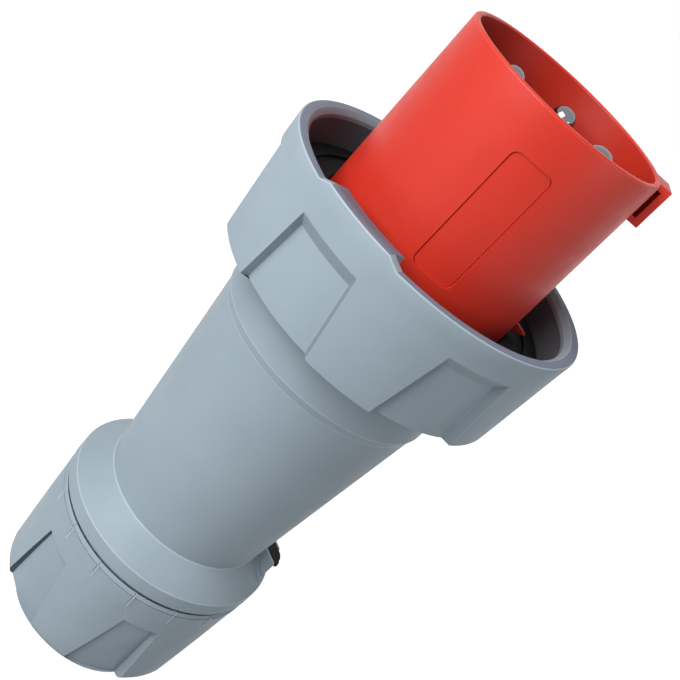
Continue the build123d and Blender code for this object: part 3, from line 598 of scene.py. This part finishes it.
rows = [nut_grip_row(z, 1) for z in (0.0, 0.35, end_rim_z, 1.1, 1.9, 3.0, nut_rounding, 10.0, 17.0, 25.0,
                                     grip_high_z)]
rows += [nut_grip_row(grip_high_z, 0), nut_grip_row(34.3, 0)]
rows += [nut_mark_row(radius, z, dip, rise) for radius, z, dip, rise in (
    (nut_wall(39.4), 39.4, 0, 0), (nut_wall(40.4), 40.4, 0.3, 0.12), (nut_lip_radius, 44.45, 0.3, 0.15),
    (39.35, 44.5, 0.1, 0.5), (39.35, 44.9, 0.1, 0.5), (nut_lip_radius, 45.0, 0.35, 0.2),
    (39.7, 46.3, 0.35, 0.2), (39.5, 46.6, 0.3, 0.15))]
rows += [crown_row(crown_radius, 45.3), crown_row(crown_radius, crown_high_z),
         crown_row(crown_bore, crown_high_z), crown_row(crown_bore, notch_low_z)]
rows += [even(columns, r, z) for r, z in (
    (thread_room, notch_low_z), (thread_room, thread_floor_z), (27.5, thread_floor_z), (22.0, cone_low_z),
    (cable_bore, cone_low_z), (cable_bore, 0.0))]
shell = bmesh.new()
skin(shell, rows)
nut = finished("gland_nut_moulding", shell, grey, edge_mm=0.25, highlight=grey_painted_highlight)

# The steep walls of the pockets get a much darker grey than the lands: painted shade
nut_painted_shade_wall = moulded("polyamide_grey_painted_shade_nut_wall", "#4A555E", "#465159", 0.62, 0.35, 0.02)
repaint(nut, nut_painted_shade_wall, lambda at: 1.2 < at.z < 34 and at.radius > 32 and at.along > 0.4)
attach(nut, "nut")
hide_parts("gland_nut")


# Housing: the tapered grey body, moulded in one piece with its flange, its collar, the two cheeks of the
# lock and the threaded spigot under the nut. The core of the tool leaves three screw posts inside.
spigot_radius = 32.0
spigot_bore = 29.5
spigot_low_z = 20.0
crown_room = 37.9
collar_low_z = 47.7
collar_radius = 40.3
neck_radius = 31.4
neck_z = 62.5
neck_bore = 28.5
seal_stop_bore = 24.0
seal_stop_low_z = 46.0
seal_stop_high_z = 49.0
barrel_radius = 40.0
barrel_bore = 37.1
barrel_low_z = 141.9
barrel_slope_z = 139.1
flange_radius = 49.4
flange_rear_z = 172.0
socket_bore = 35.8

shell = bmesh.new()
turn(shell, [
    (spigot_bore, spigot_low_z, 0.6), (spigot_radius, spigot_low_z, 0.6), (spigot_radius, 49.8, 0),
    (34.3, 57.0, 0), (crown_room, 53.4, 0), (crown_room, collar_low_z, 0.2), (39.7, collar_low_z, 0),
    (40.25, 48.4, 0), (collar_radius, 53.8, 0.55), (neck_radius, neck_z, 0.6), (39.1, barrel_slope_z, 0.9),
    (barrel_radius, barrel_low_z, 0.9), (barrel_radius, flange_rear_z, 0.3),
    (flange_radius, flange_rear_z, 0.5), (flange_radius, seat_high_z, 0.5), (39.3, seat_high_z, 0.2),
    (39.3, seat_low_z, 0), (socket_bore, seat_low_z, 0), (socket_bore, 165.3, 0), (barrel_bore, 162.4, 0),
    (barrel_bore, barrel_low_z, 0), (36.2, barrel_slope_z, 0), (neck_bore, neck_z, 0),
    (neck_bore, seal_stop_high_z, 0), (seal_stop_bore, seal_stop_high_z, 0),
    (seal_stop_bore, seal_stop_low_z, 0), (spigot_bore, seal_stop_low_z, 0)])

# The thread of the spigot runs out at both ends
thread_pitch = 4.0
thread_turns = 6
thread_low_z = 21.0
thread_root = 31.9
thread_height = 0.85
thread_core = 31.0
steps = 10
last_step = thread_turns * steps
thread = []
for step in range(last_step + 1):
    z = thread_low_z + step * thread_pitch / steps
    fade = min(1.0, step / steps, (last_step - step) / steps)
    row = []
    for i in range(columns):
        phase = (z / thread_pitch - i / columns) % 1.0
        tooth = min(max(1.8 * (1 - abs(2 * phase - 1)) - 0.4, 0), 1)
        row.append((360 * i / columns, thread_root + thread_height * tooth * fade, z))
    thread.append(row)
thread += [even(columns, thread_core, thread_low_z + thread_turns * thread_pitch),
           even(columns, thread_core, thread_low_z)]
skin(shell, thread)

# Two cheeks guide the lock, each with a low strip at its foot
cheek_inner = 3.8
cheek_outer = 5.0
strip_inner = 4.9
strip_outer = 6.5
for side in (-1, 1):
    slab(shell, [(30.4, 68.2), (38.2, 63.65), (38.2, 54.8), (30.4, 61.3)],
         *sorted((cheek_inner * side, cheek_outer * side)))
    slab(shell, [(31.0, 60.0), (31.0, 63.6), (38.7, 56.1), (38.7, 53.9)],
         *sorted((strip_inner * side, strip_outer * side)))

# Three posts take the carrier's screws, each on a rib of the wall
post_radius = 3.6
post_low_z = 150.0
post_high_z = floor_low_z
post_bore = 2.1
post_bore_low_z = 161.9
post_rib_reach = 38.5
post_rib_high_z = 162.0
post_rib_half = 1.5
for angle in screw_angles:
    slab(shell, [(screw_circle, post_low_z), (post_rib_reach, post_low_z), (post_rib_reach, post_rib_high_z),
                 (screw_circle, post_rib_high_z)], -post_rib_half, post_rib_half, angle)
    rod(shell, post_radius, post_low_z, post_high_z, angle, screw_circle, 32, 0.3, 0.2)

# The slot for the lock's tail goes down through the collar
slot_inner = 34.6
slot_outer = 37.2
slot_low_z = 44.0
slot_high_z = 62.4
slot_half = 1.5
cutter = bmesh.new()
slab(cutter, [(slot_inner, slot_low_z), (slot_outer, slot_low_z), (slot_outer, slot_high_z),
              (slot_inner, slot_high_z)], -slot_half, slot_half)
for angle in screw_angles:
    rod(cutter, post_bore, post_bore_low_z, post_high_z + 1.0, angle, screw_circle, 32)
housing = finished("housing_moulding", shell, grey, edge_mm=0.3, cutter=cutter, highlight=grey_painted_highlight)
# Painted highlight: the top strip of each cheek gets the lighter edge grey
repaint(housing, grey_painted_highlight, lambda at: at.x > 30 and 3.7 < abs(at.y) < 5.1 and at.z > 60 and at.up > 0.5)
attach(housing, "body")
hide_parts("housing")


# Lock slider: a small black polyamide key between the two cheeks, with a tail that drops into a notch of
# the nut's crown. A thumb pushes it, so its head is rounded in plan.

# Near black and matt: only its edges catch any light
black = moulded("polyamide_black", "#08090B", "#0C0D10", 0.60, 0.30, 0.010, specular=0.05)

head_half = 3.6
head_root = 32.4
head_outline = [(head_root, -head_half), (38.3, -head_half), (39.4, -2.9), (40.1, -1.8), (40.3, -0.6),
                (40.0, 0.5), (40.2, 1.6), (39.8, 2.8), (38.9, head_half), (head_root, head_half)]
head_slope = 0.583
head_slope_from = 30.4
head_low_z = 66.8
head_high_z = 68.4
tail_inner = 34.8
tail_outer = 37.0
tail_low_z = 51.5
tail_half = 1.3

shell = bmesh.new()
slab(shell, [(head_root, 66.02), (38.3, 60.25), (38.3, 63.3), (head_root, head_low_z)], -head_half, head_half)
foot = [shell.verts.new((x, y, head_low_z - head_slope * (x - head_slope_from))) for x, y in head_outline]
head = [shell.verts.new((x, y, head_high_z - head_slope * (x - head_slope_from))) for x, y in head_outline]
shell.faces.new(foot)
shell.faces.new(head)
for i in range(len(head_outline)):
    j = (i + 1) % len(head_outline)
    shell.faces.new((foot[i], foot[j], head[j], head[i]))
slab(shell, [(tail_inner, tail_low_z), (tail_outer, tail_low_z), (tail_outer, 62.05), (tail_inner, 63.5)],
     -tail_half, tail_half)
slider = finished("slider_moulding", shell, black, edge_mm=0.3)
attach(slider, "slider")
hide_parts("lock_slider")


# Clamp cage and slip washer: black polyamide as well, moulded. The nut's cone closes the cage's fingers on
# the cable, and the washer lets the cage press the seal without turning it.
def dress(node, material):
    """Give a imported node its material."""
    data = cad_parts[node].data
    data.materials.clear()
    data.materials.append(material)


dress("clamp_cage", black)
dress("slip_washer", black)


# Pin retainer: the insulating plate behind the carrier's floor, milled from ivory laminate. Three small
# screws press it against the collars of the pins. The milled faces are matt and a little cloudy.
ivory = moulded("laminate_ivory", "#C9BFA2", "#C1B797", 0.55, 0.5, 0.02)
dress("pin_retainer", ivory)


# Seals: compression-moulded EPDM rubber, matt and near black. The face seal is a flat ring with a groove,
# the O-ring sits under the carrier's flange, and the cable seal is a grooved plug in the gland.
rubber = moulded("epdm_rubber", "#0D0D0F", "#121214", 0.66, 0.4, 0.02, ior=1.50, specular=0.08)
dress("carrier_o_ring", rubber)
dress("cable_seal", rubber)

seal_inner = 35.8
seal_outer = 49.4
seal_high_z = 184.0
groove_inner = 41.4
groove_outer = 43.8
groove_low_z = 182.8
shell = bmesh.new()
turn(shell, [(seal_inner, seat_high_z, 0), (seal_outer, seat_high_z, 0.3), (seal_outer, seal_high_z, 0.8),
             (groove_outer, seal_high_z, 0.3), (groove_outer, groove_low_z, 0.2),
             (groove_inner, groove_low_z, 0.2), (groove_inner, seal_high_z, 0.3),
             (seal_inner, seal_high_z, 0.6)])
seal = finished("face_seal_ring", shell, rubber)
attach(seal, "body")
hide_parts("face_seal")


# Contact pins: turned brass with bright nickel plate, slid in from the rear as far as their collars. The
# lathe leaves fine rings round the contact. The plate is given a darker grey than nickel: painted shade that
# darkens what it mirrors.
# Real turning marks are about 0.1 mm apart. They are drawn three times as wide, or they wouldn't show.
marks_mm = 12
marks_per_height = 40
nickel = bpy.data.materials.new("nickel_plated_brass")
tree = empty_tree(nickel)
place = add(tree, "ShaderNodeTexCoord").outputs["Object"]
squeezed = add(tree, "ShaderNodeMapping", {"Scale": (1, 1, marks_per_height)}, {"Vector": place})
rings = add(tree, "ShaderNodeTexNoise", {"Scale": 1000 / marks_mm, "Detail": 3.0},
            {"Vector": squeezed.outputs["Vector"]})
gloss = add(tree, "ShaderNodeMapRange", {"To Min": 0.06, "To Max": 0.16}, {"Value": rings.outputs["Fac"]})
bump = add(tree, "ShaderNodeBump", {"Strength": 0.2, "Distance": 0.000004}, {"Height": rings.outputs["Fac"]})
# Painted shade: the base colour is darker than nickel, so the mirrored white studio comes out grey
surface = add(tree, "ShaderNodeBsdfPrincipled", {"Base Color": linear("#7C8085"), "Metallic": 1.0},
              {"Roughness": gloss.outputs["Result"], "Normal": bump.outputs["Normal"]})
add(tree, "ShaderNodeOutputMaterial", None, {"Surface": surface.outputs["BSDF"]})

pin_tips = {"pin_earth": 245.2, "pin_pilot": 231.0}
phase_tip_z = 244.0
collar_high_z = 185.0
guide_step = 0.5
guide_high_z = 193.5
for node, (angle, distance, radius) in pin_places.items():
    tip_z = pin_tips.get(node, phase_tip_z)
    if node == "pin_pilot":
        collar, terminal, wire_bore, rear_z, bore_depth = 5.0, 4.0, 1.9, 166.0, 10.0
    else:
        collar, terminal, wire_bore, rear_z, bore_depth = 8.2, 7.0, 4.3, 158.0, 18.0
    shell = bmesh.new()
    turn(shell, [(0.0, rear_z + bore_depth, 0), (wire_bore, rear_z + bore_depth, 0), (wire_bore, rear_z, 0.3),
                 (terminal, rear_z, 0.5), (terminal, floor_low_z, 0), (collar, floor_low_z, 0.2),
                 (collar, collar_high_z, 0.2), (radius + guide_step, collar_high_z, 0),
                 (radius + guide_step, guide_high_z, 0.15), (radius, guide_high_z, 0.1),
                 (radius, tip_z, radius * 0.9), (0.0, tip_z, 0)], 64, angle, distance)
    pin = finished(node + "_turned", shell, nickel)
    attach(pin, "body")
    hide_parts(node)


# Screws: zinc-plated steel with a pale blue passivation and a rolled thread. They clamp the wires, and hold
# the retainer and the carrier. The plate is a soft metal skin, cloudy in gloss at the scale of a screw head.
cloud_mm = 2.5
zinc = bpy.data.materials.new("zinc_plated_steel")
tree = empty_tree(zinc)
place = add(tree, "ShaderNodeTexCoord").outputs["Object"]
flow = add(tree, "ShaderNodeTexNoise", {"Scale": 1000 / cloud_mm, "Detail": 3.0}, {"Vector": place})
gloss = add(tree, "ShaderNodeMapRange", {"To Min": 0.2, "To Max": 0.4}, {"Value": flow.outputs["Fac"]})
surface = add(tree, "ShaderNodeBsdfPrincipled", {"Base Color": linear("#B9BEC4"), "Metallic": 1.0},
              {"Roughness": gloss.outputs["Result"]})
add(tree, "ShaderNodeOutputMaterial", None, {"Surface": surface.outputs["BSDF"]})
for node in ("terminal_screws", "pilot_screw", "retainer_screws", "carrier_screws"):
    dress(node, zinc)


# Floor: a sheet of white paper under the plug. The camera and the metal see it white, with the plug's faint
# shadow on it, and to every other ray it is a mid grey that gives back less light.
def seen_directly(tree):
    """1 for a ray of the camera, or one that a mirror or glass sends on, else 0."""
    rays = add(tree, "ShaderNodeLightPath")
    mirrored = add(tree, "ShaderNodeMath", {"operation": "MAXIMUM"},
                   {0: rays.outputs["Is Glossy Ray"], 1: rays.outputs["Is Transmission Ray"]})
    seen = add(tree, "ShaderNodeMath", {"operation": "MAXIMUM"},
               {0: rays.outputs["Is Camera Ray"], 1: mirrored.outputs["Value"]})
    return seen.outputs["Value"]


floor_half = 6
mesh = bpy.data.meshes.new("floor")
mesh.from_pydata([(-floor_half, -floor_half, 0), (floor_half, -floor_half, 0), (floor_half, floor_half, 0),
                  (-floor_half, floor_half, 0)], [], [(0, 1, 2, 3)])
floor = bpy.data.objects.new("floor", mesh)
bpy.context.scene.collection.objects.link(floor)
paper = bpy.data.materials.new("white_paper")
tree = empty_tree(paper)
matt = add(tree, "ShaderNodeBsdfDiffuse", {"Color": linear("#A6A6A6")})
faint = add(tree, "ShaderNodeBsdfDiffuse", {"Color": linear("#959595")})
white = add(tree, "ShaderNodeEmission", {"Color": linear("#FFFFFF"), "Strength": 0.96})
lit = add(tree, "ShaderNodeAddShader", None, {0: faint.outputs["BSDF"], 1: white.outputs["Emission"]})
mix = add(tree, "ShaderNodeMixShader", None,
          {"Fac": seen_directly(tree), 1: matt.outputs["BSDF"], 2: lit.outputs["Shader"]})
add(tree, "ShaderNodeOutputMaterial", None, {"Surface": mix.outputs["Shader"]})
mesh.materials.append(paper)


# Studio: pale walls that light the plug more from the sides than from above, and are white to the camera
# and in the metal. A large soft lamp stands at the left, and a small one at the right lifts the red.
world = bpy.data.worlds.new("studio")
bpy.context.scene.world = world
tree = empty_tree(world)
place = add(tree, "ShaderNodeTexCoord").outputs["Generated"]
height = add(tree, "ShaderNodeSeparateXYZ", None, {"Vector": place})
level = add(tree, "ShaderNodeMapRange", {"From Min": 0.0, "From Max": 0.9, "To Min": 0.36, "To Max": 0.10},
            {"Value": height.outputs["Z"]})
soft = add(tree, "ShaderNodeBackground", {"Color": linear("#FFFFFF")}, {"Strength": level.outputs["Result"]})
plain = add(tree, "ShaderNodeBackground", {"Color": linear("#FFFFFF"), "Strength": 1.0})
mix = add(tree, "ShaderNodeMixShader", None,
          {"Fac": seen_directly(tree), 1: soft.outputs["Background"], 2: plain.outputs["Background"]})
add(tree, "ShaderNodeOutputWorld", None, {"Surface": mix.outputs["Shader"]})


def lamp(name, place, target, size, watts):
    """Square area lamp aimed at a point."""
    light = bpy.data.lights.new(name, "AREA")
    light.shape = "SQUARE"
    light.size = size
    light.energy = watts
    stand = bpy.data.objects.new(name, light)
    bpy.context.scene.collection.objects.link(stand)
    stand.location = place
    stand.rotation_mode = "QUATERNION"
    stand.rotation_quaternion = (Vector(target) - Vector(place)).to_track_quat("-Z", "Y")


plug_middle = (0, 0, 0.14)
shroud_front = (0, 0, 0.26)
lamp("key_lamp", (-0.61, -0.56, 0.68), plug_middle, size=0.8, watts=15.2)
lamp("fill_lamp", (0.30, -0.20, 0.30), shroud_front, size=0.15, watts=0.25)


# Camera: where the photograph was taken from, looking down on the plug from the side of its panel. It is
# rolled, so that the standing plug leans across the picture.
camera_place = Vector((-0.05318, -0.32126, 0.29789))
camera_right = Vector((0.76002, 0.17097, 0.62703))
camera_down = Vector((0.63257, -0.41608, -0.65327))
camera_ahead = Vector((0.14920, 0.89313, -0.42436))
lens = bpy.data.cameras.new("camera")
lens.lens = 59.5
lens.sensor_width = 36
lens.clip_start = 0.01
camera = bpy.data.objects.new("camera", lens)
bpy.context.scene.collection.objects.link(camera)
turned_to = Matrix((camera_right, -camera_down, -camera_ahead)).transposed()
camera.matrix_world = Matrix.Translation(camera_place) @ turned_to.to_4x4()
bpy.context.scene.camera = camera
bpy.context.scene.view_settings.view_transform = "Standard"
